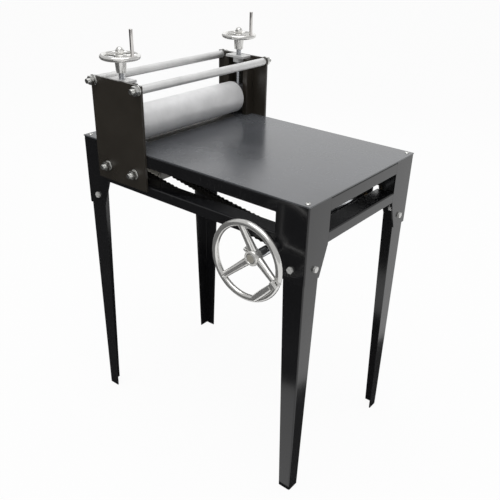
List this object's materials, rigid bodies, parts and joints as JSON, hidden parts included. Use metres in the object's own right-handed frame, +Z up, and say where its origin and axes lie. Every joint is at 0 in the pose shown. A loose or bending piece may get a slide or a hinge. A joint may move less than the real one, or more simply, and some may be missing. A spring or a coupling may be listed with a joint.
{
  "type": "slab roller",
  "caption": "Hand-cranked slab roller: folded-steel stand and table, a chain-driven lower roller and a screw-adjusted upper roller between side plates.",
  "frame": {"origin": "on the floor under the middle of the machine's box, with the crank handle folded and the rollers as pictured", "axes": "+X along the feed, away from the rollers' end of the table; +Y from the crank side to the back; +Z up from the floor"},
  "size_m": [0.6704, 0.5502, 1.01],
  "materials": {
    "black_gloss": "gloss black paint",
    "black_satin": "satin black paint",
    "table_grey": "satin charcoal paint",
    "zinc": "bright zinc plate",
    "plain_steel": "bare machined steel",
    "roller_steel": "satin turned steel",
    "lower_roller_steel": "satin turned steel",
    "shaft_steel": "ground steel bar",
    "chain_steel": "oiled dark steel",
    "rod_steel": "dark drawn steel",
    "chrome": "polished plate",
    "cast_grey": "painted casting",
    "bronze": "plain bearing bronze"
  },
  "bodies": {
    "stand": {"front_upper_rail": "black_gloss", "back_upper_rail": "black_gloss", "left_upper_rail": "black_gloss", "right_upper_rail": "black_gloss", "front_lower_rail": "black_gloss", "back_lower_rail": "black_gloss", "left_lower_rail": "black_gloss", "right_lower_rail": "black_gloss", "front_left_post": "black_gloss", "front_right_post": "black_gloss", "back_left_post": "black_gloss", "back_right_post": "black_gloss", "front_left_leg": "black_gloss", "front_right_leg": "black_gloss", "back_left_leg": "black_gloss", "back_right_leg": "black_gloss", "front_shaft_hanger": "black_gloss", "back_shaft_hanger": "black_gloss", "front_side_plate": "black_satin", "back_side_plate": "black_satin", "guide_bars": "black_satin", "table_top": "table_grey", "table_screws": "zinc", "leg_bolts": "zinc", "leg_nuts": "zinc", "tie_rods": "zinc", "plate_nuts": "zinc", "plate_washers": "zinc", "bearing_bolts": "zinc", "tie_tubes": "plain_steel", "front_bridge": "plain_steel", "back_bridge": "plain_steel", "bridge_nuts": "plain_steel", "chain_inner_links": "chain_steel", "chain_outer_links": "chain_steel", "lower_bearings": "cast_grey", "shaft_bushes": "bronze"},
    "crank": {"drive_shaft": "shaft_steel", "handwheel": "chrome", "wheel_lock_screw": "chrome", "shaft_collar": "shaft_steel", "drive_sprocket": "chain_steel", "handle_pin": "shaft_steel"},
    "crank_handle": {"folding_handle": "chrome"},
    "lower_roll": {"lower_roller": "lower_roller_steel", "lower_axle": "lower_roller_steel", "driven_sprocket": "chain_steel"},
    "carriage": {"front_bearing_block": "cast_grey", "back_bearing_block": "cast_grey", "block_bushes": "bronze"},
    "upper_roll": {"upper_roller": "roller_steel", "upper_axle": "roller_steel"},
    "front_screw": {"front_pressure_screw": "shaft_steel", "front_height_wheel": "chrome", "front_wheel_rod": "rod_steel", "front_cap_nut": "chrome"},
    "back_screw": {"back_pressure_screw": "shaft_steel", "back_height_wheel": "chrome", "back_wheel_rod": "rod_steel", "back_cap_nut": "chrome"}
  },
  "joints": [
    {"name": "crank_turn", "type": "hinge", "parent": "stand", "child": "crank", "pos_m": [0.23347, -0.1856, 0.629], "axis": [0, 1, 0], "continuous": true, "deforming": ["chain_inner_links", "chain_outer_links"]},
    {"name": "lower_roller_turn", "type": "hinge", "parent": "stand", "child": "lower_roll", "pos_m": [-0.193, -0.1856, 0.696], "axis": [0, 1, 0], "continuous": true},
    {"name": "roller_lift", "type": "slide", "parent": "stand", "child": "carriage", "axis": [0, 0, 1], "range_m": [-0.005, 0.03]},
    {"name": "upper_roller_turn", "type": "hinge", "parent": "carriage", "child": "upper_roll", "pos_m": [-0.193, -0.1856, 0.7955], "axis": [0, 1, 0], "continuous": true},
    {"name": "front_screw_turn", "type": "hinge", "parent": "carriage", "child": "front_screw", "pos_m": [-0.193, -0.1713, 0.7955], "axis": [0, 0, 1], "range_deg": [-600, 3600]},
    {"name": "back_screw_turn", "type": "hinge", "parent": "carriage", "child": "back_screw", "pos_m": [-0.193, 0.2301, 0.7955], "axis": [0, 0, 1], "range_deg": [-600, 3600]},
    {"name": "fold_handle", "type": "hinge", "parent": "crank", "child": "crank_handle", "pos_m": [0.31316, -0.2671, 0.61128], "axis": [-0.7254, 0, 0.6884], "range_deg": [0, 90]}
  ],
  "couplings": [
    {"joint": "lower_roller_turn", "follows": "crank_turn", "ratio": 1},
    {"joint": "front_screw_turn", "follows": "roller_lift", "rad_per_m": 2094.4},
    {"joint": "back_screw_turn", "follows": "roller_lift", "rad_per_m": 2094.4}
  ]
}
